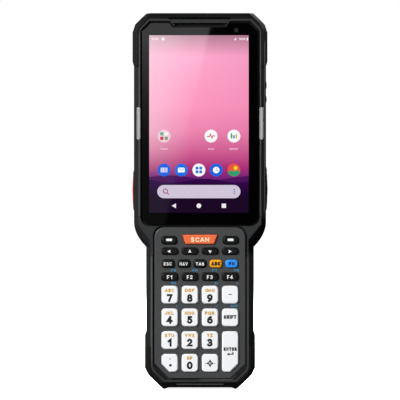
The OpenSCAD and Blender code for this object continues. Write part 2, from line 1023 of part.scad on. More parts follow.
// Spring contacts in the floor of the battery bay
module battery_contacts() {
    color("#c9a24a")
        union() {
            block(
                [-contacts_half, contacts_y0, contacts_z0],
                [contacts_half, bay_floor_y - 0.1, contacts_z1]
            );
            for (i = [0 : contact_count - 1])
                translate([(i - (contact_count - 1) / 2) * contact_pitch, bay_floor_y, 0])
                    block([-contact_w / 2, -0.2, contacts_z0 + 1], [contact_w / 2, 0.2, contacts_z1 - 1]);
        }
}

// The charging socket: an open metal shell with a tongue
module usb_connector() {
    color("#b9bdc0")
        difference() {
            translate([0, usb_y, housing_bottom + bumper_in])
                linear_extrude(usb_len)
                    rounded(2 * usb_half, usb_h, usb_h / 2 - 0.01);
            translate([0, usb_y, 0])
                linear_extrude(housing_bottom + bumper_in + usb_len - 1)
                    difference() {
                        rounded(2 * (usb_half - usb_wall), usb_h - 2 * usb_wall, usb_h / 2 - usb_wall - 0.01);
                        square(usb_tongue, center = true);
                    }
        }
}

// The card holder behind the card cover, standing on the main board
module card_socket() {
    color("#b9bdc0")
        difference() {
            block([-card_x1, board_back_y, slot_z0 - 0.6], [-card_x0, 0.2, slot_z1 + 0.6]);
            block([-far, -2, slot_z0 + 0.2], [-card_x0 - 1, -0.9, slot_z1 - 0.2]);
        }
}

module housing_screws() {
    color("#9a9da0")
        for (s = SCREWS)
            difference() {
                union() {
                    bar_y(s[0], s[1], screw_tip_y, s[2] + 0.5, screw_r);
                    bar_y(s[0], s[1], s[2], s[2] + screw_head_h, screw_head_r);
                }
                translate([s[0], s[2] + 0.8, s[1]])
                    rotate([-90, 0, 0])
                        cylinder(d = screw_drive, h = screw_head_h, $fn = 6);
            }
}

// The removable battery, with a lip along half of its top end for the lock's tongue to hold
module battery_pack() {
    color("#26272a")
        difference() {
            union() {
                intersection() {
                    skin(0);
                    block([-battery_half, bay_floor_y + gap, battery_z0], [battery_half, far, battery_z1]);
                }
                block(
                    [lip_x, bay_floor_y + gap, battery_z1 - 1],
                    [battery_half, lip_y, battery_z1 + lip_rise]
                );
            }
            for (i = [0 : grip_grooves - 1])
                slab(back_y - grip_depth, far)
                    translate([0, grip_z - i * grip_pitch])
                        rounded(grip_w, grip_h, grip_h / 2 - 0.05);
        }
}

// The battery lock, shown open: a plate under the pocket's rails, with a ribbed knob and a tongue
module battery_lock() {
    x0 = lock_x - lock_half;
    x1 = lock_x + lock_half;
    color("#3c3d3f")
        union() {
            block(
                [x0, lock_floor_y + fit, lock_z0 - lock_plate_out],
                [x1, lock_plate_y, lock_z1 + lock_plate_out]
            );
            block([x0, lock_plate_y - 0.1, lock_z0], [x1, back_y + 0.1, lock_z1]);
            for (i = [0 : knob_ribs - 1])
                translate([lock_x + (i - (knob_ribs - 1) / 2) * knob_pitch, 0, 0])
                    block(
                        [-knob_rib_w / 2, back_y, lock_z0 + knob_inset],
                        [knob_rib_w / 2, back_y + knob_rib_h, lock_z1 - knob_inset]
                    );
            block(
                [lock_x - tongue_half, lock_floor_y + fit, tongue_z],
                [lock_x + tongue_half, lock_plate_y, lock_z0]
            );
        }
}

// The card cover: a flap with two hinge pins and a plug that seals the slot
module card_cover() {
    color("#1a1a1b")
        union() {
            block([cover_x, cover_y0, hinge_z], [cover_x + cover_t, cover_y1, cover_z1]);
            bar_y(hinge_x, hinge_z, cover_y0, cover_y1, cover_t / 2);
            hinge_ends(hinge_pin_r, 0);
            block(
                [cover_x + cover_t - 0.1, slot_y0 + 0.25, slot_z0 + gap],
                [-plug_x, slot_y1 - 0.25, slot_z1 - 0.7]
            );
        }
}

// A key through the side with a slightly crowned face, and a flange inside the wall; s is -1 on the left
module side_button(s, z, h) {
    slab(trigger_y0, trigger_y1)
        polygon([
            [s * (inner_side - button_depth), z - h / 2], [s * (boss_out - 0.1), z - h / 2],
            [s * trigger_out, z - h / 2 + button_slope], [s * (trigger_out + trigger_dome), z],
            [s * trigger_out, z + h / 2 - button_slope], [s * (boss_out - 0.1), z + h / 2],
            [s * (inner_side - button_depth), z + h / 2]
        ]);
    slab(trigger_y0 - flange_margin, side_flat_y)
        translate([s * flange_x, z])
            square([side_flange_t, h + 2 * flange_margin], center = true);
}

module scan_trigger() {
    color("#e8603a")
        side_button(-1, trigger_z, trigger_h);
}

module side_key() {
    color("#1b1b1c")
        side_button(1, side_key_z, side_key_h);
}

// A volume key with a domed face
module volume_key(z) {
    color("#1b1b1c")
        union() {
            slab(volume_y0, volume_y1)
                intersection() {
                    translate([inner_side - button_depth, z - volume_h / 2])
                        square([volume_out - inner_side + button_depth, volume_h]);
                    translate([volume_out - volume_dome_r, z])
                        circle(volume_dome_r, $fn = 64);
                }
            slab(volume_y0 - flange_margin, volume_y1 + flange_margin)
                translate([flange_x, z])
                    square([side_flange_t, volume_h + 1.2 * flange_margin], center = true);
        }
}

module volume_up() {
    volume_key(volume_z[1]);
}

module volume_down() {
    volume_key(volume_z[0]);
}

// A keycap: a cap with sloped edges through the bezel, a flange behind it and a stem over the mat's pad
module keycap(key) {
    color(key_colour(key))
        union() {
            hull() {
                slab(key_face_y, key_face_y + 0.01)
                    key_shape(key, -key_chamfer);
                slab(key_face_y + key_chamfer, flange_y + 0.1)
                    key_shape(key, 0);
            }
            slab(flange_y, flange_y + flange_t)
                key_shape(key, flange_out);
            bar_y(key[1], key[2], flange_y, stem_y, pad_r);
        }
}

function key_colour(key) =
    key[NAME] == "key_scan" ? "#f07a45"
    : key[NAME] == "key_alpha" ? "#f5a81c"
    : key[NAME] == "key_function" ? "#2a8cf5"
    : key[4] >= number_h ? "#f4f5f8" : "#1c1c1c";

front_housing();
rear_housing();
top_bumper();
bottom_bumper();
keypad_bezel();
display_glass();
lcd_module();
receiver_cover();
indicator_lenses();
mid_frame();
main_board();
keypad_board();
keypad_mat();
scan_window();
scan_engine();
camera_window();
camera_modules();
loudspeaker();
battery_contacts();
usb_connector();
card_socket();
housing_screws();
battery_pack();
battery_lock();
card_cover();
scan_trigger();
side_key();
volume_up();
volume_down();
for (key = KEYS)
    keycap(key);
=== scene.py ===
"""The looks of a portable barcode data terminal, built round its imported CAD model.

Lengths in this script are millimetres, and MM turns them into Blender's metres. The front faces -Y.
"""

import json
import math

import bpy
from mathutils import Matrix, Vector


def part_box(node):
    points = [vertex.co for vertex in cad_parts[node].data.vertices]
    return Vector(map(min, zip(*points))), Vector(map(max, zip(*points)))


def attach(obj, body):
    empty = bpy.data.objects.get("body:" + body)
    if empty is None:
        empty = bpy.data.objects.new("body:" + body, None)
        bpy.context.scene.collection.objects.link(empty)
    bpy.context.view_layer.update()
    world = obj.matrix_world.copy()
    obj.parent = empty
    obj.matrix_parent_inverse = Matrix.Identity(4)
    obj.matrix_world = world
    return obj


MM = 0.001
FRONT, BACK = 1, -1

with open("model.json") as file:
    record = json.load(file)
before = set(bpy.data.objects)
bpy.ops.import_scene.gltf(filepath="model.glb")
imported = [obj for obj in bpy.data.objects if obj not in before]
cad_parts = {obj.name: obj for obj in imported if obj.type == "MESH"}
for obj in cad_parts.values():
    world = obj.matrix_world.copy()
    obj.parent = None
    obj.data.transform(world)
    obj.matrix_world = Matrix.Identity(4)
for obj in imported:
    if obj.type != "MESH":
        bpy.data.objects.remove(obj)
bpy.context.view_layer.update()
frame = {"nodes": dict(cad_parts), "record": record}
NODES = frame["nodes"]
SLOTS = {part["node"]: part["material_slot"] for part in frame["record"]["subparts"]}
ROOT = "terminal"


def face_y(node, facing):
    """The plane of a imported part's front or back face."""
    low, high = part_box(node)
    return round((low if facing == FRONT else high).y / MM, 3)


KEY_FACE_Y = face_y("key_5", FRONT)
GLASS_Y = face_y("display_glass", FRONT)
BEZEL_Y = face_y("keypad_bezel", FRONT)
WINDOW_Y = face_y("camera_window", BACK)


# Materials ------------------------------------------------------------------------------------


def linear(hex_colour):
    """A colour such as "#2a8cf5" as linear RGBA."""
    values = [int(hex_colour[i : i + 2], 16) / 255 for i in (1, 3, 5)]
    return [v / 12.92 if v <= 0.04045 else ((v + 0.055) / 1.055) ** 2.4 for v in values] + [1.0]


def scaled(hex_colour, factor):
    """The colour as linear RGBA, made darker or lighter by a factor."""
    return [min(1.0, value * factor) for value in linear(hex_colour)[:3]] + [1.0]


class Shader:
    """A material with a Principled shader, and short ways to add nodes to it.

    A socket takes a plain value, a colour such as "#2a8cf5" or another node's output.
    """

    def __init__(self, name, **sockets):
        self.material = bpy.data.materials.new(name)
        self.material.use_nodes = True
        self.tree = self.material.node_tree
        self.bsdf = self.tree.nodes["Principled BSDF"]
        self.set(**sockets)

    def feed(self, node, socket, value):
        if isinstance(value, bpy.types.NodeSocket):
            self.tree.links.new(value, node.inputs[socket])
        else:
            node.inputs[socket].default_value = linear(value) if isinstance(value, str) else value

    def set(self, **sockets):
        """Feeds the Principled shader's sockets, such as Base_Color for its Base Color."""
        for socket, value in sockets.items():
            self.feed(self.bsdf, socket.replace("_", " "), value)

    def node(self, kind, inputs=(), **settings):
        made = self.tree.nodes.new(kind)
        for name, value in settings.items():
            setattr(made, name, value)
        for socket, value in dict(inputs).items():
            self.feed(made, socket, value)
        return made

    def coordinates(self):
        return self.node("ShaderNodeTexCoord").outputs["Object"]

    def place(self):
        """X, Y and Z in the object's frame, in metres."""
        return self.node("ShaderNodeSeparateXYZ", {"Vector": self.coordinates()}).outputs

    def math(self, operation, *values):
        return self.node("ShaderNodeMath", enumerate(values), operation=operation).outputs[0]

    def noise(self, per_mm, detail=3.0, roughness=0.5):
        """Cloudy noise with so many waves per mm."""
        inputs = {"Vector": self.coordinates(), "Scale": per_mm / MM}
        inputs |= {"Detail": detail, "Roughness": roughness}
        return self.node("ShaderNodeTexNoise", inputs).outputs["Fac"]

    def remap(self, value, low, high, to_low, to_high):
        """The value, stretched so that low becomes to_low and high to_high, and held there beyond."""
        inputs = {"Value": value, "From Min": low, "From Max": high, "To Min": to_low, "To Max": to_high}
        return self.node("ShaderNodeMapRange", inputs).outputs["Result"]

    def mix(self, factor, a, b):
        """The colour a where the factor is 0, and b where it is 1."""
        return self.node("ShaderNodeMix", {"Factor": factor, 6: a, 7: b}, data_type="RGBA").outputs[2]

    def bump(self, height, strength, depth):
        inputs = {"Height": height, "Strength": strength, "Distance": depth * MM}
        self.set(Normal=self.node("ShaderNodeBump", inputs).outputs["Normal"])


class Place:
    """A shader's place on the object, with masks over lengths in mm."""

    def __init__(self, s):
        self.s = s
        self.x, self.y, self.z = s.place()

    def out(self):
        """The distance from the middle plane."""
        return self.s.math("ABSOLUTE", self.x)

    def right(self):
        """1 on the right half, seen from the front."""
        return self.ramp(self.x, -1, 1)

    def ramp(self, value, low, high):
        """0 where the value is low, 1 where it is high, and even between."""
        return self.s.remap(value, low * MM, high * MM, 0.0, 1.0)

    def near(self, value, centre, reach, fade):
        """1 up to the reach on both sides of the centre, then fading to 0 within the fade."""
        away = self.s.math("ABSOLUTE", self.s.math("SUBTRACT", value, centre * MM))
        return self.ramp(away, reach + fade, reach)

    def edge(self, heights, widths):
        """A half-width that grows from the grip's to the head's between two heights."""
        return self.s.remap(self.z, *(length * MM for length in (*heights, *widths)))

    def all(self, first, *masks):
        """1 only where every mask is 1."""
        for mask in masks:
            first = self.s.math("MULTIPLY", first, mask)
        return first


# Where the tones lie: painted highlights, painted shade and the dark seams. The middle height of each part of
# the front, with its reach up and down:
HEAD_Z, HEAD_REACH = 141, 44
SHOULDER_Z, SHOULDER_REACH, SHADE_REACH = 82.5, 8, 8.5
GRIP_Z, GRIP_REACH = 44, 27
RIDGE_Z, RIDGE_REACH = 101, 86
SEAMS_Z, SEAM_REACH = (72.0, 92.8), 0.12
SOCKET_LIP_Z, SOCKET_LIP_REACH = 2.85, 0.28
# The depths between which a tone sets in:
RIDGE_Y = (-14.9, -15.05)
GROOVE_Y = (-13.9, -13.6)
SHADE_Y = (-9.5, -13)
LIP_Y = (-14.7, -14.85)
# The heights between which an edge runs out from the grip to the head, and its half-widths there:
RIDGE_EDGE = ((80, 86), (25.95, 32.75))
SHADE_EDGE = ((80.3, 88.8), (25.9, 32.8))
GROOVE_EDGE = ((86, 93), (26, 33))
# The heights between which the groove's painted light sets in, downwards, and its black painted shade,
# upwards:
GROOVE_LIT_Z = (74, 70)
GROOVE_SHADE_Z = (84, 87)
# How much further out the shade starts on the left:
SHADE_SHIFT = 0.9
# The distance from the middle plane, and half the width across, of the painted highlight on the head and of
# the light bars:
HEAD_HIGHLIGHT_X, HEAD_HIGHLIGHT_HALF = 34.7, 0.22
LIGHT_BAR_X, LIGHT_BAR_HALF = 32.95, 0.35
SOCKET_LIP_HALF = 12.5


def painted_edge_highlight(s, at, colour):
    """A painted highlight: a thin bright line along the right edge of the head."""
    across = at.near(at.x, HEAD_HIGHLIGHT_X, HEAD_HIGHLIGHT_HALF, 0.1)
    highlight = at.all(across, at.near(at.z, HEAD_Z, HEAD_REACH, 3), at.ramp(at.y, 0, -1))
    return s.mix(highlight, colour, "#6a6b6c")


def ridge_light_and_shade(s, at, colour):
    """The ridge's painted highlight: paler on the grip, with painted shade at the shoulder, and narrower on
    the right side.
    """
    ridge = s.mix(at.near(at.z, RIDGE_Z, RIDGE_REACH, 8), "#333435", "#424344")
    ridge = s.mix(at.near(at.z, GRIP_Z, GRIP_REACH, 2), ridge, "#4e4f50")
    beyond = s.math("SUBTRACT", at.x, at.edge(*RIDGE_EDGE))
    ridge = s.mix(at.ramp(beyond, -0.1, 0.1), ridge, colour)
    return s.mix(at.near(at.z, SHOULDER_Z, SHOULDER_REACH, 4), ridge, "#2d2e2f")


def groove_light_and_shade(s, at, right):
    """The groove inside the ridge: painted light beside the keypad's right edge, and black painted shade
    beside the display.
    """
    lit_beside_keys = at.all(right, at.ramp(at.z, *GROOVE_LIT_Z))
    shaded_beside_display = at.ramp(at.z, *GROOVE_SHADE_Z)
    return s.mix(shaded_beside_display, s.mix(lit_beside_keys, "#2c2d2e", "#707172"), "#070708")


def front_tones(s, colour):
    """The housing's colour, with painted highlights on its ridge and the head's right edge, painted shade on
    its shoulders, painted shade and light in its grooves, and dark seams.

    The painted shade on the right shoulder is dull as well as dark.
    """
    at = Place(s)
    right = at.right()
    out = at.out()
    # A painted highlight on the raised ridge, with painted shade at the shoulder
    toned = s.mix(at.ramp(at.y, *RIDGE_Y), colour, ridge_light_and_shade(s, at, colour))

    # Painted shade on the shoulders, darker and duller on the right
    left_shift = s.math("MULTIPLY", s.math("SUBTRACT", 1.0, right), SHADE_SHIFT * MM)
    limit = s.math("ADD", at.edge(*SHADE_EDGE), left_shift)
    outside = at.ramp(s.math("SUBTRACT", out, limit), -0.4, 0.4)
    shaded = at.all(outside, at.near(at.z, SHOULDER_Z, SHADE_REACH, 3), at.ramp(at.y, *SHADE_Y))
    toned = s.mix(shaded, toned, s.mix(right, "#161718", "#040405"))
    s.set(Specular_IOR_Level=s.remap(at.all(shaded, right), 0, 1, 0.2, 0.02))

    # Black painted shade in the groove beside the display, and painted light in it beside the keypad's right
    # edge
    inside = s.math("LESS_THAN", out, at.edge(*GROOVE_EDGE))
    toned = s.mix(at.all(at.ramp(at.y, *GROOVE_Y), inside), toned, groove_light_and_shade(s, at, right))
    for seam in SEAMS_Z:
        toned = s.mix(at.near(at.z, seam, SEAM_REACH, 0.1), toned, "#020202")
    # The head's right edge gets a painted highlight
    return painted_edge_highlight(s, at, toned)


def bumper_tones(s, colour):
    """The bumpers' colour, with a painted highlight on the lip over the charging socket and along the head's
    right edge.
    """
    at = Place(s)
    # A painted highlight on the lip over the charging socket
    across = at.near(at.x, 0, SOCKET_LIP_HALF, 0.3)
    lip = at.all(across, at.ramp(at.y, *LIP_Y), at.near(at.z, SOCKET_LIP_Z, SOCKET_LIP_REACH, 0.07))
    return painted_edge_highlight(s, at, s.mix(lip, colour, "#5c5d5e"))


def moulded(name, colour, rough=0.5, grain=2.2, depth=0.02, shade=0.12, specular=0.3, coat=0.0, tones=None):
    """Moulded plastic or rubber: a fine spark texture, with a slow change of tone and of gloss.

    The function in tones, where there is one, paints tones on parts of it: painted highlights and shade, and
    seams.
    """
    s = Shader(name, Specular_IOR_Level=specular, Coat_Weight=coat, Coat_Roughness=0.15)
    darker, lighter = scaled(colour, 1 - shade), scaled(colour, 1 + shade)
    slow = s.mix(s.noise(0.05, 4), darker, lighter)
    specks = s.mix(s.remap(s.noise(grain, 2), 0.35, 0.65, 0, 1), darker, lighter)
    tone = s.mix(0.5, slow, specks)
    if tones:
        tone = tones(s, tone)
    gloss = s.remap(s.noise(0.12, 3), 0.3, 0.7, rough - 0.05, rough + 0.05)
    s.set(Base_Color=tone, Roughness=gloss)
    s.bump(s.noise(grain, 3, 0.6), 0.35, depth)
    return s.material


def polished(name, colour, rough=0.06, smear=0.05):
    """Polished glass or lens: dark print behind a clear face, with a faint unevenness of gloss."""
    s = Shader(name)
    tone = s.mix(s.noise(0.08, 3), colour, scaled(colour, 1.3))
    s.set(Base_Color=tone, Roughness=s.remap(s.noise(0.06, 4), 0.35, 0.7, rough, rough + smear))
    return s.material


def frosted(name, colour, edge):
    """A frosted light bar beside the display, with painted shade towards its long edges."""
    s = Shader(name, Specular_IOR_Level=0.4, Coat_Weight=0.3, Coat_Roughness=0.2)
    at = Place(s)
    # Painted shade: the bar turns to the darker colour towards its long edges
    core = at.near(at.out(), LIGHT_BAR_X, LIGHT_BAR_HALF, 0.75)
    tone = s.mix(s.noise(1.2, 3), scaled(colour, 0.9), colour)
    s.set(Base_Color=s.mix(core, edge, tone), Roughness=s.remap(s.noise(0.8, 3), 0.3, 0.7, 0.3, 0.4))
    s.bump(s.noise(2.5, 2), 0.2, 0.01)
    return s.material


def metal(name, colour, rough=0.35, brushed=6.0):
    """Plated or drawn metal with fine lines along Z."""
    s = Shader(name, Metallic=1.0)
    stretch = (brushed / MM, brushed / MM, 0.3 / MM)
    lines = s.node("ShaderNodeMapping", {"Vector": s.coordinates(), "Scale": stretch}).outputs["Vector"]
    streak = s.node("ShaderNodeTexNoise", {"Vector": lines, "Scale": 1.0, "Detail": 3.0}).outputs["Fac"]
    gloss = s.remap(streak, 0.3, 0.7, rough - 0.08, rough + 0.08)
    s.set(Base_Color=s.mix(streak, scaled(colour, 0.85), colour), Roughness=gloss)
    s.bump(streak, 0.15, 0.004)
    return s.material


def printed(name, colour):
    """Ink printed on a key or the bezel, slightly uneven like a screen print."""
    s = Shader(name, Roughness=0.45)
    s.set(Base_Color=s.mix(s.noise(3.0, 2), scaled(colour, 0.9), colour))
    return s.material


MATERIALS = {
    "housing": moulded("housing_plastic", "#161718", 0.5, specular=0.2, tones=front_tones),
    "housing_back": moulded("housing_back_plastic", "#161718", 0.5, specular=0.25),
    "bumper": moulded(
        "bumper_rubber", "#09090a", 0.6, grain=3.0, depth=0.03, specular=0.18, tones=bumper_tones
    ),
    "bezel": moulded("bezel_plastic", "#3f4041", 0.52, grain=2.6),
    "cover_glass": polished("cover_glass_black", "#020203", 0.02, smear=0.015),
    "display": polished("display_off", "#15101a"),
    "trim": moulded("trim_plastic", "#2a2b2c", 0.42),
    "light_lens": frosted("light_lens_frosted", "#acadae", "#4d4e50"),
    "chassis": metal("chassis_alloy", "#8d9194", 0.5, 1.0),
    "circuit_board": polished("circuit_board_mask", "#1f5a3c", 0.35),
    "silicone": moulded("silicone_pale", "#d8dadb", 0.6, shade=0.03),
    "scan_glass": polished("scan_glass_red", "#2a0508", 0.05),
    "module": moulded("module_plastic", "#1b1c1f", 0.4),
    "contact": metal("contact_gold", "#d9b25a", 0.25),
    "socket_steel": metal("socket_steel_plain", "#b9bdc0", 0.3),
    "screw": metal("screw_plated", "#55575a", 0.35),
    "battery": moulded("battery_plastic", "#17181a", 0.52),
    "orange_side": moulded("orange_side_plastic", "#f2502a", 0.38, coat=0.2, shade=0.05),
    "key_black": moulded("key_black_plastic", "#0a0a0b", 0.45, shade=0.05, specular=0.25),
    "key_white": moulded("key_white_plastic", "#f1f2f5", 0.45, shade=0.015, depth=0.008),
    "key_orange": moulded("key_orange_plastic", "#e86c40", 0.42, shade=0.04),
    "key_yellow": moulded("key_yellow_plastic", "#eea31c", 0.42, shade=0.04),
    "key_blue": moulded("key_blue_plastic", "#2f93f6", 0.42, shade=0.04),
}


# Edges ----------------------------------------------------------------------------------------

WELD_DISTANCE = 0.002
FLAT_ANGLE = math.radians(0.4)
BEVEL_ANGLE = math.radians(28)
SMOOTH_ANGLE = math.radians(32)


def geometry_group(name):
    """A new node group for a modifier, with its start and its end."""
    group = bpy.data.node_groups.new(name, "GeometryNodeTree")
    group.interface.new_socket("Geometry", in_out="INPUT", socket_type="NodeSocketGeometry")
    group.interface.new_socket("Geometry", in_out="OUTPUT", socket_type="NodeSocketGeometry")
    start = group.nodes.new("NodeGroupInput")
    end = group.nodes.new("NodeGroupOutput")
    return group, start.outputs[0], end.inputs[0]


def weld_group():
    """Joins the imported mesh's faces where they meet."""
    group, start, end = geometry_group("weld_faces")
    plain = group.nodes.new("GeometryNodeRemoveAttribute")
    plain.inputs["Name"].default_value = "custom_normal"
    merge = group.nodes.new("GeometryNodeMergeByDistance")
    merge.inputs["Distance"].default_value = WELD_DISTANCE * MM
    group.links.new(start, plain.inputs[0])
    group.links.new(plain.outputs[0], merge.inputs[0])
    group.links.new(merge.outputs[0], end)
    return group


def smooth_group():
    """Shades faces smooth, apart from the sharper edges."""
    group, start, end = geometry_group("smooth_by_angle")
    edge = group.nodes.new("GeometryNodeInputMeshEdgeAngle")
    compare = group.nodes.new("FunctionNodeCompare")
    compare.operation = "LESS_THAN"
    compare.inputs["B"].default_value = SMOOTH_ANGLE
    faces = group.nodes.new("GeometryNodeSetShadeSmooth")
    edges = group.nodes.new("GeometryNodeSetShadeSmooth")
    edges.domain = "EDGE"
    group.links.new(edge.outputs["Unsigned Angle"], compare.inputs["A"])
    group.links.new(start, faces.inputs[0])
    group.links.new(faces.outputs[0], edges.inputs[0])
    group.links.new(compare.outputs[0], edges.inputs["Shade Smooth"])
    group.links.new(edges.outputs[0], end)
    return group


WELD = weld_group()
SMOOTH = smooth_group()


def soften(node, width, merge):
    """Rounds a part's sharp edges by a width; merge joins its flat triangles first."""
    node.modifiers.new("weld", "NODES").node_group = WELD
    if merge:
        flat = node.modifiers.new("flat", "DECIMATE")
        flat.decimate_type = "DISSOLVE"
        flat.angle_limit = FLAT_ANGLE
    bevel = node.modifiers.new("bevel", "BEVEL")
    bevel.width = width * MM
    bevel.segments = 3
    bevel.limit_method = "ANGLE"
    bevel.angle_limit = BEVEL_ANGLE
    bevel.miter_outer = "MITER_ARC"
    node.modifiers.new("smooth", "NODES").node_group = SMOOTH
    normals = node.modifiers.new("normals", "WEIGHTED_NORMAL")
    normals.keep_sharp = True


# How wide each part's rounded edges are
KEY_EDGE = 0.3
INNER_EDGE = 0.05
EDGE_WIDTH = {
    "front_housing": 0.2,
    "rear_housing": 0.18,
    "top_bumper": 0.3,
    "bottom_bumper": 0.3,
    "keypad_bezel": 0.15,
    "display_glass": 0.12,
    "receiver_cover": 0.2,
    "indicator_lenses": 0.35,
    "scan_window": 0.1,
    "camera_window": 0.15,
    "battery_pack": 0.3,
    "battery_lock": 0.1,
    "card_cover": 0.25,
    "scan_trigger": 0.35,
    "side_key": 0.35,
    "volume_up": 0.3,
    "volume_down": 0.3,
    "housing_screws": 0.08,
}
# The lock's ribs stand free on its face, which a merged face can't run round
UNMERGED = ("battery_lock",)
for name, slot in SLOTS.items():
    node = NODES[name]
    node.data.materials.clear()
    node.data.materials.append(MATERIALS[slot])
    usual_width = KEY_EDGE if name.startswith("key_") else INNER_EDGE
    soften(node, EDGE_WIDTH.get(name, usual_width), name not in UNMERGED)


# Flat shapes: points in X and Z, and faces that run anticlockwise seen from the front -----------

MITRE_LIMIT = 0.45


def solid(points):
    """The points' outline as one face."""
    return points, [list(range(len(points)))]


def arc(x, z, rx, rz, start, end, n=16):
    """Points along part of an ellipse, from the start angle to the end angle."""
    turns = [math.radians(start + (end - start) * i / n) for i in range(n + 1)]
    return [(x + rx * math.cos(a), z + rz * math.sin(a)) for a in turns]


def disc(x, z, r, n=28):
    return solid(arc(x, z, r, r, 0, 360, n)[:-1])


def bar(x, z, w, h, r=0.0, n=6):
    """A rectangle, with round corners where a radius is given."""
    points = []
    for across, up, start in ((1, 1, 0), (-1, 1, 90), (-1, -1, 180), (1, -1, 270)):
        corner = (x + across * (w / 2 - r), z + up * (h / 2 - r))
        points += arc(*corner, r, r, start, start + 90, n) if r else [corner]
    return solid(points)


def line(path, w):
    """A line drawn w wide, with mitred bends and square ends; one that ends where it starts is closed."""
    path = [Vector(p) for p in path]
    closed = (path[0] - path[-1]).length < 1e-6
    if closed:
        path.pop()
    else:
        path[0] += (path[0] - path[1]).normalized() * w / 2
        path[-1] += (path[-1] - path[-2]).normalized() * w / 2
    n = len(path)
    points = []
    for i, p in enumerate(path):
        before = (p - path[i - 1]).normalized() if closed or i else None
        after = (path[(i + 1) % n] - p).normalized() if closed or i < n - 1 else before
        before = before or after
        left = Vector((-before.y, before.x))
        bend = (left + Vector((-after.y, after.x))).normalized()
        reach = bend * w / 2 / max(MITRE_LIMIT, bend.dot(left))
        points += [tuple(p + reach), tuple(p - reach)]
    runs = n if closed else n - 1
    faces = [[2 * i + 1, 2 * ((i + 1) % n) + 1, 2 * ((i + 1) % n), 2 * i] for i in range(runs)]
    return points, faces


def ring(x, z, r, w, n=32):
    """A circle drawn w wide."""
    return line(arc(x, z, r, r, 0, 360, n), w)


def placed(shapes, x, z, turn=0.0):
    """Shapes turned about the origin by degrees, then moved."""
    c, s = math.cos(math.radians(turn)), math.sin(math.radians(turn))
    moved = []
    for points, faces in shapes:
        moved.append(([(x + px * c - pz * s, z + px * s + pz * c) for px, pz in points], faces))
    return moved


# Pieces ---------------------------------------------------------------------------------------

# Print starts a little below the face that it's on
PRINT_SINK = 0.01
PRINT_DEPTH = 0.022
# How far each shape of a relief stands before the last one, so that they don't fight where they overlap
SHAPE_STEP = 0.001


def linked(name, data):
    """A new object in the scene."""
    made = bpy.data.objects.new(name, data)
    bpy.context.scene.collection.objects.link(made)
    return made


def prism(name, shapes, y, depth, material, body, facing=FRONT):
    """A thin relief on a face: flat shapes in X and Z, from the plane y, depth thick."""
    vertices, faces = [], []
    for layer, (points, flats) in enumerate(shapes):
        start, n = len(vertices), len(points)
        for level in (y, y - facing * (depth + SHAPE_STEP * layer)):
            vertices += [(x * MM, level * MM, z * MM) for x, z in points]
        edges = [edge for flat in flats for edge in zip(flat, flat[1:] + flat[:1])]
        inner = {(b, a) for a, b in edges}
        sides = [[a, b, b + n, a + n] for a, b in edges if (a, b) not in inner]
        tops = [[i + n for i in flat] for flat in flats]
        faces += [[start + i for i in face][::facing] for face in tops + sides]
    mesh = bpy.data.meshes.new(name)
    mesh.from_pydata(vertices, [], faces)
    mesh.validate()
    mesh.materials.append(material)
    made = linked(name, mesh)
    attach(made, body)
    return made


# Letters ---------------------------------------------------------------------------------------

ROUND = arc(0.4, 0.5, 0.4, 0.5, 0, 360, 28)
BOWL = [(0, 0), (0, 1), (0.3, 1)] + arc(0.3, 0.73, 0.26, 0.27, 90, -90) + [(0, 0.46)]
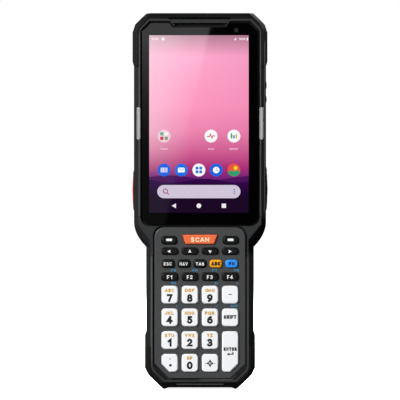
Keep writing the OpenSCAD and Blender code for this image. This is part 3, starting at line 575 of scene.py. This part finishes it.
# Each sign's width and the centre lines of its strokes, in a box 1 high
SIGNS = {
    "A": (0.74, [[(0, 0), (0.37, 1), (0.74, 0)], [(0.16, 0.32), (0.58, 0.32)]]),
    "B": (
        0.58,
        [
            [(0, 0), (0.32, 0)] + arc(0.32, 0.27, 0.26, 0.27, -90, 90) + [(0, 0.54), (0, 0)],
            [(0, 0.54), (0.3, 0.54)] + arc(0.3, 0.77, 0.23, 0.23, -90, 90) + [(0, 1), (0, 0.54)],
        ],
    ),
    "C": (0.66, [arc(0.4, 0.5, 0.4, 0.5, 50, 310)]),
    "D": (0.66, [[(0, 0), (0.22, 0)] + arc(0.22, 0.5, 0.44, 0.5, -90, 90) + [(0, 1), (0, 0)]]),
    "E": (0.52, [[(0.52, 1), (0, 1), (0, 0), (0.52, 0)], [(0, 0.5), (0.46, 0.5)]]),
    "F": (0.5, [[(0.5, 1), (0, 1), (0, 0)], [(0, 0.48), (0.44, 0.48)]]),
    "G": (0.74, [arc(0.4, 0.5, 0.4, 0.5, 48, 350) + [(0.77, 0.5), (0.46, 0.5)]]),
    "H": (0.62, [[(0, 0), (0, 1)], [(0.62, 0), (0.62, 1)], [(0, 0.5), (0.62, 0.5)]]),
    "I": (0.0, [[(0, 0), (0, 1)]]),
    "J": (0.4, [[(0.4, 1)] + arc(0.18, 0.26, 0.22, 0.26, 0, -160)]),
    "K": (0.62, [[(0, 0), (0, 1)], [(0.58, 1), (0, 0.38)], [(0.2, 0.6), (0.62, 0)]]),
    "L": (0.5, [[(0, 1), (0, 0), (0.5, 0)]]),
    "M": (0.8, [[(0, 0), (0, 1), (0.4, 0.25), (0.8, 1), (0.8, 0)]]),
    "N": (0.64, [[(0, 0), (0, 1), (0.64, 0), (0.64, 1)]]),
    "O": (0.8, [ROUND]),
    "P": (0.56, [BOWL]),
    "Q": (0.8, [ROUND, [(0.5, 0.22), (0.78, -0.06)]]),
    "R": (0.62, [BOWL, [(0.28, 0.46), (0.62, 0)]]),
    "S": (0.58, [arc(0.3, 0.745, 0.26, 0.255, 35, 265) + arc(0.28, 0.245, 0.29, 0.245, 85, -145)]),
    "T": (0.66, [[(0, 1), (0.66, 1)], [(0.33, 1), (0.33, 0)]]),
    "U": (0.62, [[(0, 1)] + arc(0.31, 0.3, 0.31, 0.3, 180, 360) + [(0.62, 1)]]),
    "V": (0.72, [[(0, 1), (0.36, 0), (0.72, 1)]]),
    "W": (1.1, [[(0, 1), (0.27, 0), (0.55, 0.85), (0.83, 0), (1.1, 1)]]),
    "X": (0.66, [[(0, 0), (0.66, 1)], [(0, 1), (0.66, 0)]]),
    "Y": (0.68, [[(0, 1), (0.34, 0.47), (0.68, 1)], [(0.34, 0.47), (0.34, 0)]]),
    "Z": (0.62, [[(0, 1), (0.62, 1), (0, 0), (0.62, 0)]]),
    "0": (0.66, [arc(0.33, 0.5, 0.33, 0.5, 0, 360, 28)]),
    "1": (0.34, [[(0, 0.74), (0.34, 1), (0.34, 0)]]),
    "2": (0.64, [arc(0.31, 0.71, 0.29, 0.29, 160, -32) + [(0.02, 0), (0.64, 0)]]),
    "3": (0.62, [arc(0.28, 0.75, 0.27, 0.25, 145, -90), arc(0.28, 0.25, 0.32, 0.25, 90, -150)]),
    "4": (0.7, [[(0.47, 0), (0.47, 1)], [(0.44, 0.96), (0, 0.3), (0.7, 0.3)]]),
    "5": (0.62, [[(0.56, 1), (0.12, 1), (0.08, 0.53)] + arc(0.29, 0.32, 0.31, 0.32, 115, -150)]),
    "6": (0.66, [arc(0.34, 0.31, 0.32, 0.31, 0, 360, 28), arc(0.6, 0.31, 0.58, 0.69, 180, 100)]),
    "7": (0.62, [[(0, 1), (0.62, 1), (0.24, 0)]]),
    "8": (0.66, [arc(0.33, 0.765, 0.26, 0.235, 0, 360, 28), arc(0.33, 0.265, 0.32, 0.265, 0, 360, 28)]),
    "9": (0.66, [arc(0.32, 0.69, 0.32, 0.31, 0, 360, 28), arc(0.06, 0.69, 0.58, 0.69, 0, -80)]),
    "=": (0.5, [[(0, 0.33), (0.5, 0.33)], [(0, 0.67), (0.5, 0.67)]]),
    ":": (0.0, [[(0, 0.2), (0, 0.24)], [(0, 0.72), (0, 0.76)]]),
    ";": (0.06, [[(0.06, 0.16), (0, -0.1)], [(0.06, 0.68), (0.06, 0.72)]]),
    "/": (0.5, [[(0, 0), (0.5, 1)]]),
    "(": (0.2, [arc(0.5, 0.5, 0.5, 0.6, 122, 238)]),
    ")": (0.2, [arc(-0.3, 0.5, 0.5, 0.6, 58, -58)]),
    "%": (
        0.8,
        [
            [(0.1, 0), (0.7, 1)],
            arc(0.12, 0.8, 0.13, 0.18, 0, 360, 12),
            arc(0.68, 0.2, 0.13, 0.18, 0, 360, 12),
        ],
    ),
    "*": (0.6, [[(0.3, 0.2), (0.3, 0.9)], [(0, 0.38), (0.6, 0.72)], [(0, 0.72), (0.6, 0.38)]]),
}


def lettering(text, height, weight, width=None, gap=0.2):
    """Letters as shapes round the origin, in strokes of one weight, stretched to a width if one is given."""
    tall = height - weight
    natural = sum(SIGNS[letter][0] for letter in text) * tall
    fixed = len(text) * weight + (len(text) - 1) * gap
    stretch = (width - fixed) / natural if width else 1.0
    x = -(natural * stretch + fixed) / 2
    shapes = []
    for letter in text:
        sign_width, strokes = SIGNS[letter]
        for stroke in strokes:
            path = [(x + weight / 2 + px * tall * stretch, (pz - 0.5) * tall) for px, pz in stroke]
            shapes.append(line(path, weight))
        x += sign_width * tall * stretch + weight + gap
    return shapes


# Keypad legends -------------------------------------------------------------------------------

INK_BLACK = printed("ink_black", "#101218")
INK_WHITE = printed("ink_white", "#f4f4f4")
INK_AMBER = printed("ink_amber", "#d9a520")
INK_BROWN = printed("ink_brown", "#241203")
INK_NAVY = printed("ink_navy", "#07357a")
INK_BLUE = printed("ink_blue", "#3484b0")
INK_CREAM = printed("ink_cream", "#fff0c8")
INK_GREY = printed("ink_grey", "#4a4c50")
INK_PALE = printed("ink_pale", "#b4b7bc")


def key_mark(key, shapes, ink, dx=0.0, dz=0.0, tag="legend"):
    """Prints shapes on a key, moved by dx and dz from its middle."""
    low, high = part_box(key)
    x, z = (low.x + high.x) / 2 / MM, (low.z + high.z) / 2 / MM
    shapes = placed(shapes, x + dx, z + dz)
    prism(f"{tag}_{key[4:]}", shapes, KEY_FACE_Y + PRINT_SINK, PRINT_DEPTH, ink, key)


# The telephone letters over the digits
LETTERS = {
    "7": "ABC", "8": "DEF", "9": "GHI",
    "4": "JKL", "5": "MNO", "6": "PQR",
    "1": "STU", "2": "VWX", "3": "YZ",
    "0": "SP",
}
for digit, letters in LETTERS.items():
    key = "key_" + digit
    digit_z = -1.75 if digit in "789" else -1.25
    key_mark(key, lettering(digit, 4.2, 1.12), INK_BLACK, dx=-0.1, dz=digit_z)
    word = lettering(letters, 1.85, 0.52, 5.1 if len(letters) == 3 else 3.1, 0.22)
    letters_z = 2.65 if digit in "1230" else 2.35
    key_mark(key, word, INK_AMBER, dx=-0.15, dz=letters_z, tag="letters")

key_mark("key_shift", lettering("SHIFT", 2.05, 0.62, 6.8, 0.22), INK_BLACK, dx=-0.1, dz=0.3)
key_mark("key_enter", lettering("ENTER", 1.85, 0.6, 7.1, 0.22), INK_BLACK, dz=1.4)
RETURN_ARROW = [
    line([(1.5, 0.9), (1.5, -0.1), (-0.6, -0.1)], 0.6),
    solid([(-1.85, -0.1), (-0.45, -0.9), (-0.45, 0.7)]),
]
key_mark("key_enter", RETURN_ARROW, INK_BLACK, dz=-1.25, tag="return")
key_mark("key_minus", [bar(0, 0, 1.7, 0.5, 0.1)], INK_GREY, dz=0.2)
key_mark("key_point", [disc(0, 0, 0.72)], INK_BLACK, dx=0.35, dz=-1.2)
key_mark("key_point", lettering("*", 1.5, 0.26), INK_PALE, dx=0.1, dz=2.2, tag="letters")
key_mark("key_escape", lettering("ESC", 1.7, 0.34, 4.3, 0.4), INK_WHITE, dx=-0.3, dz=-0.1)
key_mark("key_mode", lettering("NAV", 1.7, 0.34, 4.3, 0.34), INK_WHITE, dx=-0.25, dz=-0.1)
key_mark("key_tab", lettering("TAB", 1.7, 0.34, 4.5, 0.3), INK_WHITE, dx=-0.05, dz=-0.1)
key_mark("key_alpha", lettering("ABC", 2.1, 0.74, 5.0, 0.16), INK_BROWN)
key_mark("key_function", lettering("FN", 2.0, 0.72, 3.3, 0.22), INK_NAVY)
key_mark("key_f1", lettering("F1", 2.05, 0.38, 2.8, 0.5), INK_WHITE, dx=-0.1, dz=-0.12)
for n in (2, 3, 4):
    key_mark(f"key_f{n}", lettering(f"F{n}", 2.05, 0.38, 3.1, 0.5), INK_WHITE, dx=-0.1, dz=-0.12)
key_mark("key_scan", lettering("SCAN", 2.4, 0.52, 9.8, 0.5), INK_CREAM, dz=-0.1)
for side in ("left", "right"):
    key_mark(f"key_soft_{side}", [bar(0, 0, 3.3, 1.3, 0.55)], INK_WHITE, dx=-0.1, dz=0.25)

ARROW = [solid([(-0.55, 0), (-0.85, -0.88), (0.95, 0), (-0.85, 0.88)])]
# Which way each arrow points, in degrees from the right, and where it sits on its key
ARROW_KEYS = (
    ("key_right", 0, -0.1, -0.1),
    ("key_up", 90, -0.1, 0.0),
    ("key_left", 180, -0.4, -0.1),
    ("key_down", 270, 0.0, -0.25),
)
for key, turn, dx, dz in ARROW_KEYS:
    key_mark(key, placed(ARROW, 0, 0, turn), INK_WHITE, dx=dx, dz=dz)

# The backlight's sign: a diamond with a pointed corner on each side, a bar in it and a ray on both sides
DIAMOND_X, DIAMOND_Z = 1.2, 1.3
LIGHT_SIGN = [
    line([(DIAMOND_X, 0), (0, DIAMOND_Z), (-DIAMOND_X, 0), (0, -DIAMOND_Z), (DIAMOND_X, 0)], 0.42),
    bar(0, 0, 0.5, 2.2),
]
for turn, far in ((0, DIAMOND_X), (90, DIAMOND_Z), (180, DIAMOND_X), (270, DIAMOND_Z)):
    LIGHT_SIGN += placed([solid([(far - 0.8, 0), (far, -0.62), (far + 0.7, 0), (far, 0.62)])], 0, 0, turn)
for side in (-1, 1):
    LIGHT_SIGN.append(bar(side * 2.35, 0, 0.7, 0.26))
key_mark("key_light", LIGHT_SIGN, INK_BLACK, dz=-0.15)

# The blue words on the bezel, over the right end of their keys: each word's width and its shift
LEGEND_INSET = 0.9
F_LEGEND_RISE, LEGEND_RISE = 0.8, 0.95
BEZEL_LEGENDS = (
    ("key_f1", "F5", 2.6, -0.6),
    ("key_f2", "F6", 2.8, 0.3),
    ("key_f3", "F7", 2.8, 0),
    ("key_f4", "F8", 2.8, 0.9),
    ("key_7", "INS", 2.4, -0.7),
    ("key_9", "()", 1.7, 0.2),
    ("key_minus", "=", 1.5, 0.5),
    ("key_4", ";", 0.5, 0),
    ("key_6", "/", 0.8, 0),
    ("key_shift", "CAPS", 3.8, 0),
)
for key, words, width, dx in BEZEL_LEGENDS:
    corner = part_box(key)[1] / MM
    x = corner.x - LEGEND_INSET - width / 2 + dx
    z = corner.z + (F_LEGEND_RISE if key.startswith("key_f") else LEGEND_RISE)
    shapes = placed(lettering(words, 1.3, 0.3, width if len(words) > 1 else None, 0.18), x, z)
    prism(f"second_{key[4:]}", shapes, BEZEL_Y + PRINT_SINK, PRINT_DEPTH, INK_BLUE, ROOT)


# Display --------------------------------------------------------------------------------------

# The lit picture's edges, how far it stands out from the glass, and the thin sheets of its shapes in front
SCREEN_X = (-27.25, 26.1)
SCREEN_Z = (94.9, 190.1)
PICTURE_OUT = 0.02
SHEET_DEPTH = 0.01
LAYER_STEP = 0.012
# The sky's colours from the dunes up, as parts of the picture's height
SKY = (
    (0.20, "#74267a"), (0.26, "#b03478"), (0.34, "#d05e92"), (0.46, "#ee86b0"),
    (0.60, "#fe98c0"), (0.88, "#ffa8cc"), (1.00, "#b08092"),
)
# The haze on the left and the deeper tone on the right meet here, as a part of the width
TINTS_MEET = 0.42
# Each dune's height, its waves' height, number and phase, and its colours at the crest and below
DUNES = (
    (0.200, 0.012, 7.0, 0.2, "#50165f", "#340a4c"),
    (0.182, 0.011, 9.5, 2.6, "#310848", "#1b0926"),
)


def glowing(name):
    """A shader that gives light of its own and mirrors as the cover glass does."""
    return Shader(name, Base_Color="#000000", Roughness=0.03, IOR=1.9, Emission_Strength=1.0)


def wallpaper():
    """The lit picture: a sky from pale pink to deep violet, hazy on the left, over two low dunes."""
    s = glowing("display_picture")
    x, _, z = s.place()
    x = s.remap(x, SCREEN_X[0] * MM, SCREEN_X[1] * MM, 0, 1)
    z = s.remap(z, SCREEN_Z[0] * MM, SCREEN_Z[1] * MM, 0, 1)
    ramp = s.node("ShaderNodeValToRGB", {"Fac": z})
    elements = ramp.color_ramp.elements
    while len(elements) < len(SKY):
        elements.new(0.5)
    for element, (position, colour) in zip(elements, SKY):
        element.position = position
        element.color = linear(colour)
    haze = s.math("MULTIPLY", s.remap(x, TINTS_MEET, 0, 0, 0.36), s.remap(z, 0.2, 0.45, 0.05, 1))
    picture = s.mix(haze, ramp.outputs["Color"], "#f4e4ec")
    picture = s.mix(s.remap(x, TINTS_MEET, 1, 0, 0.13), picture, "#a0247e")
    for height, swell, turns, phase, crest, below in DUNES:
        wave = s.math("SINE", s.math("MULTIPLY_ADD", x, turns, phase))
        depth = s.math("SUBTRACT", s.math("MULTIPLY_ADD", wave, swell, height), z)
        dune = s.mix(s.remap(depth, 0.0, 0.09, 0, 1), crest, below)
        picture = s.mix(s.remap(depth, 0.0, 0.003, 0, 1), picture, dune)
    s.set(Emission_Color=picture)
    return s.material


def lit(colour):
    """A shape shown by the display, with the slight unevenness of its backlight."""
    s = glowing("lit_" + colour[1:])
    s.set(Emission_Color=s.mix(s.noise(0.4, 2), scaled(colour, 0.94), colour))
    return s.material


LIT = {}


def shown(name, shapes, colour, layer=1):
    """A shape of the display's picture, on a layer in front of the wallpaper."""
    if colour not in LIT:
        LIT[colour] = lit(colour)
    front_y = GLASS_Y - PICTURE_OUT - LAYER_STEP * layer
    prism(name, shapes, front_y + SHEET_DEPTH, SHEET_DEPTH, LIT[colour], ROOT)


screen = bar(sum(SCREEN_X) / 2, sum(SCREEN_Z) / 2, SCREEN_X[1] - SCREEN_X[0], SCREEN_Z[1] - SCREEN_Z[0], 0.3)
prism("screen_picture", [screen], GLASS_Y + PICTURE_OUT, 2 * PICTURE_OUT, wallpaper(), ROOT)

WHITE = "#ffffff"
TILE_BLUE = "#1a66e6"
POST_BLUE = "#1c72ea"
SEARCH_PURPLE = "#a0507c"
BUTTON_WHITE = "#f2f0f4"
STATUS_WHITE = "#fff4fa"
TILE_R = 3.45
TOP_Z = 136.0
TOP_X = (-19.3, 5.9, 18.2)
LABEL_DROP = 6.9
DOCK_Z = 117.8
DOCK_X = (-19.3, -10.0, -0.6, 8.7, 18.2)
SEARCH_Z = 106.2
BUTTON_Z = 98.6
STATUS_Z = 188.1


def tile(name, x, z, colour, *marks):
    """A round tile with its marks, each drawn round the origin."""
    shown("tile_" + name, [disc(x, z, TILE_R, 40)], colour)
    for i, (shapes, mark_colour) in enumerate(marks):
        shown(f"mark_{name}_{i}", placed(shapes, x, z), mark_colour, 2 + i)


tile(
    "folder", TOP_X[0], TOP_Z, "#f0d4de",
    ([bar(-1.2, 1.2, 1.8, 1.8, 0.5)], "#6cb48c"),
    ([bar(1.2, 1.2, 1.8, 1.8, 0.5)], "#f8f8fa"),
    ([bar(-1.2, -1.2, 1.8, 1.8, 0.5)], "#d23c48"),
    ([bar(1.2, -1.2, 1.8, 1.8, 0.5)], "#8a9a86"),
)
tile(
    "pulse", TOP_X[1], TOP_Z, WHITE,
    ([line([(-1.9, -0.2), (-0.8, -0.2), (-0.2, 1.1), (0.5, -1.1), (1.0, 0.1), (1.9, 0.1)], 0.55)], "#d8323e"),
)
tile(
    "chart", TOP_X[2], TOP_Z, WHITE,
    ([bar(-1.3, 0.1, 0.9, 2.8, 0.2)], "#2fae7a"),
    ([bar(0.0, -0.4, 0.9, 1.8, 0.2)], "#3a86e0"),
    ([bar(1.3, -0.1, 0.9, 2.4, 0.2)], "#f0a93c"),
)
for x, words in zip(TOP_X, ("TOOLS", "SCAN", "REPORT")):
    label = placed(lettering(words, 0.95, 0.16, None, 0.14), x, TOP_Z - LABEL_DROP)
    shown("label_" + words.lower(), label, "#ffd6e8")

# A bar code's bars: their places and widths
CODE_BARS = ((-1.5, 0.5), (-0.75, 0.25), (-0.2, 0.5), (0.5, 0.25), (1.0, 0.25), (1.55, 0.4))
tile("codes", DOCK_X[0], DOCK_Z, TILE_BLUE, ([bar(x, 0, w, 2.6) for x, w in CODE_BARS], WHITE))
tile(
    "post", DOCK_X[1], DOCK_Z, POST_BLUE,
    ([bar(0, 0, 3.7, 2.6, 0.4)], WHITE),
    ([line([(-1.7, 1.1), (0, -0.2), (1.7, 1.1)], 0.24)], POST_BLUE),
)
grid = [bar(x, z, 1.55, 1.55, 0.3) for x in (-1, 1) for z in (-1, 1)]
tile("grid", DOCK_X[2], DOCK_Z, WHITE, (grid, "#2a6fe0"))
tile(
    "clock", DOCK_X[3], DOCK_Z, TILE_BLUE,
    ([disc(0, 0, 1.75, 32)], WHITE),
    ([line([(0, 1.1), (0, 0), (0.75, -0.4)], 0.3)], TILE_BLUE),
)
hills = arc(1.4, -1.9, 1.9, 1.7, 10, 140, 8) + arc(-1.6, -1.5, 1.5, 1.2, 40, 160, 8)
tile(
    "picture", DOCK_X[4], DOCK_Z, "#e9573f",
    ([solid(arc(0, 0, TILE_R, TILE_R, 195, 345, 20) + hills)], "#34a06a"),
    ([disc(0.9, 1.1, 1.15)], "#f8c832"),
)

shown("search_bar", [bar(-0.6, SEARCH_Z, 44.6, 7.1, 3.55, 14)], "#d3c8dc")
shown("search_ring", [ring(-18.6, SEARCH_Z + 0.3, 1.15, 0.5)], SEARCH_PURPLE, 2)
shown("search_stem", [line([(-17.7, SEARCH_Z - 0.6), (-16.9, SEARCH_Z - 1.4)], 0.5)], SEARCH_PURPLE, 3)
shown("search_dots", [disc(18.4, SEARCH_Z + dz, 0.36, 16) for dz in (-1.1, 0, 1.1)], "#5a6aa8", 2)
shown("nav_back", placed([solid([(-1.6, 0), (0.7, -1.3), (0.7, 1.3)])], -13.6, BUTTON_Z), BUTTON_WHITE)
shown("nav_home", [disc(-0.6, BUTTON_Z, 1.25)], BUTTON_WHITE)
shown("nav_tasks", [bar(12.8, BUTTON_Z, 2.3, 2.3, 0.15)], BUTTON_WHITE)
shown("status_time", placed(lettering("10:24", 1.15, 0.2, None, 0.16), -24.2, STATUS_Z), STATUS_WHITE)
shown("status_dot", [disc(-19.8, STATUS_Z, 0.75)], WHITE)
shown("status_signal", placed([solid([(-1.3, -0.6), (0, -0.6), (0, 0.8)])], 19.4, STATUS_Z), WHITE)
shown("status_charge", placed(lettering("100%", 1.1, 0.2, None, 0.14), 22.6, STATUS_Z), STATUS_WHITE)
shown("status_battery", placed([bar(0, -0.1, 0.7, 1.3, 0.1), bar(0, 0.65, 0.3, 0.2)], 25.4, STATUS_Z), WHITE)


# Cameras --------------------------------------------------------------------------------------

FRONT_CAMERA = (19.4, 192.9)
REAR_LENS = (-3.6, 168)
REAR_FLASH = (4.2, 168)


def camera_part(name, shape, depth, material, facing):
    """A ring or lens on the display's glass, or on the camera window at the back."""
    y = (GLASS_Y if facing == FRONT else WINDOW_Y) + facing * PRINT_SINK
    prism(name, [shape], y, depth, material, ROOT, facing)


DARK_RING = printed("camera_ring", "#17181b")
DARK_LENS = polished("camera_lens", "#1e222c", 0.03)
STEEL_RING = metal("lens_ring", "#6a6d70")
BLUE_LENS = polished("rear_lens_glass", "#101626", 0.03)
FLASH_LENS = printed("flash_lens", "#e9dfae")
camera_part("front_camera_ring", ring(*FRONT_CAMERA, 0.95, 0.3), 0.02, DARK_RING, FRONT)
camera_part("front_camera_lens", disc(*FRONT_CAMERA, 0.62), 0.02, DARK_LENS, FRONT)
camera_part("rear_lens_ring", ring(*REAR_LENS, 2.5, 0.5), 0.05, STEEL_RING, BACK)
camera_part("rear_lens", disc(*REAR_LENS, 2.2), 0.03, BLUE_LENS, BACK)
camera_part("rear_flash", disc(*REAR_FLASH, 1.4), 0.03, FLASH_LENS, BACK)


# Stage, light and camera ----------------------------------------------------------------------


def plane(name, corners, material):
    """A flat part of the stage, with its corners in mm."""
    mesh = bpy.data.meshes.new(name)
    mesh.from_pydata([Vector(corner) * MM for corner in corners], [], [list(range(len(corners)))])
    mesh.materials.append(material)
    made = linked(name, mesh)
    return made


# The floor: white to the camera, a little greyer close to the object
FLOOR_GREY, FLOOR_NEAR, FLOOR_FAR = 0.84, 50, 600
floor_look = Shader("floor_white", Base_Color=(0.9, 0.9, 0.9, 1), Roughness=0.9, Specular_IOR_Level=0.1)
from_object = floor_look.node("ShaderNodeVectorMath", {0: floor_look.coordinates()}, operation="LENGTH")
floor_light = floor_look.remap(from_object.outputs["Value"], FLOOR_NEAR * MM, FLOOR_FAR * MM, FLOOR_GREY, 1.0)
floor_look.set(Emission_Color=WHITE, Emission_Strength=floor_light)
REACH = 20000
floor_corners = [(-REACH, -REACH, 0), (REACH, -REACH, 0), (REACH, REACH, 0), (-REACH, REACH, 0)]
floor = plane("floor", floor_corners, floor_look.material)
floor.visible_diffuse = False
floor.visible_glossy = False

# The studio: white to the camera, dim to the object
SKY_LIGHT = 0.12
world = bpy.data.worlds.new("studio")
bpy.context.scene.world = world
world.use_nodes = True
tree = world.node_tree
sky = tree.nodes["Background"]
path = tree.nodes.new("ShaderNodeLightPath")
level = tree.nodes.new("ShaderNodeMapRange")
tree.links.new(path.outputs["Is Camera Ray"], level.inputs["Value"])
level.inputs["To Min"].default_value = SKY_LIGHT
level.inputs["To Max"].default_value = 1.0
tree.links.new(level.outputs["Result"], sky.inputs["Strength"])
sky.inputs["Color"].default_value = (1, 1, 1, 1)

# Each light's name, place, size and power in watts
LIGHTS = (
    ("key_light", (-900, -850, 600), (600, 600), 26),
    ("fill_light", (500, -1000, 500), (700, 700), 1.6),
    ("left_rim", (-700, 650, 250), (300, 700), 1.5),
    ("right_rim", (640, 720, 480), (500, 400), 34),
    ("back_light", (-200, 1000, 500), (800, 600), 8),
)
MIDDLE = Vector((0, 0, 100)) * MM


def softbox(name, place, size, power):
    """A rectangular light that faces the object's middle."""
    lamp = bpy.data.lights.new(name, "AREA")
    lamp.shape = "RECTANGLE"
    lamp.size, lamp.size_y = size[0] * MM, size[1] * MM
    lamp.energy = power
    made = linked(name, lamp)
    made.location = Vector(place) * MM
    made.rotation_euler = (MIDDLE - made.location).to_track_quat("-Z", "Y").to_euler()


for light in LIGHTS:
    softbox(*light)

# The camera looks level at the front; its distance counts from the plane of the front
FRONT_PLANE_Y = -15.0
CAMERA_X, CAMERA_Z = 0.0, 101.7
CAMERA_D = 1192.0
camera = bpy.data.cameras.new("camera")
camera.lens = 200.0
camera.sensor_width = 36
camera.clip_end = 100
eye = linked("camera", camera)
eye.location = Vector((CAMERA_X, FRONT_PLANE_Y - CAMERA_D, CAMERA_Z)) * MM
eye.rotation_euler = (math.pi / 2, 0, 0)
bpy.context.scene.camera = eye

# A bright card behind the camera, which the cover glass reflects with a slanted edge, and a black flag
# behind the card, which the glass reflects beside it
CARD_Y = -1600.0
CARD_CORNERS = ((-60, 84), (-19.9, 84), (6.7, 200), (-60, 200))
# The heights between which the card grows bright
CARD_DIM, CARD_BRIGHT = 150, 303
SPREAD = 1 + (FRONT_PLANE_Y - CARD_Y) / CAMERA_D
FLAG_Y = CARD_Y - 20
FLAG_W = 900
FLAG_LOW, FLAG_HIGH = 1, 520


def card_point(x, z):
    """Where the card must be for the camera to see it mirrored at x and z on the front."""
    return CAMERA_X + (x - CAMERA_X) * SPREAD, CARD_Y, CAMERA_Z + (z - CAMERA_Z) * SPREAD


card_look = Shader("card_white", Base_Color="#000000", Emission_Color=WHITE)
rise = card_look.remap(card_look.place()["Z"], CARD_DIM * MM, CARD_BRIGHT * MM, 0.0, 1.0)
card_look.set(Emission_Strength=card_look.math("MULTIPLY_ADD", rise, rise, 0.03))
card = plane("card", [card_point(x, z) for x, z in CARD_CORNERS], card_look.material)
flag_look = Shader("card_black", Base_Color="#000000", Roughness=1.0, Specular_IOR_Level=0.0)
flag_outline = bar(0, (FLAG_LOW + FLAG_HIGH) / 2, FLAG_W, FLAG_HIGH - FLAG_LOW)[0]
flag = plane("flag", [(x, FLAG_Y, z) for x, z in flag_outline], flag_look.material)
for unseen in (card, flag):
    unseen.visible_camera = False
    unseen.visible_diffuse = False
    unseen.visible_shadow = False

bpy.context.scene.view_settings.view_transform = "Standard"
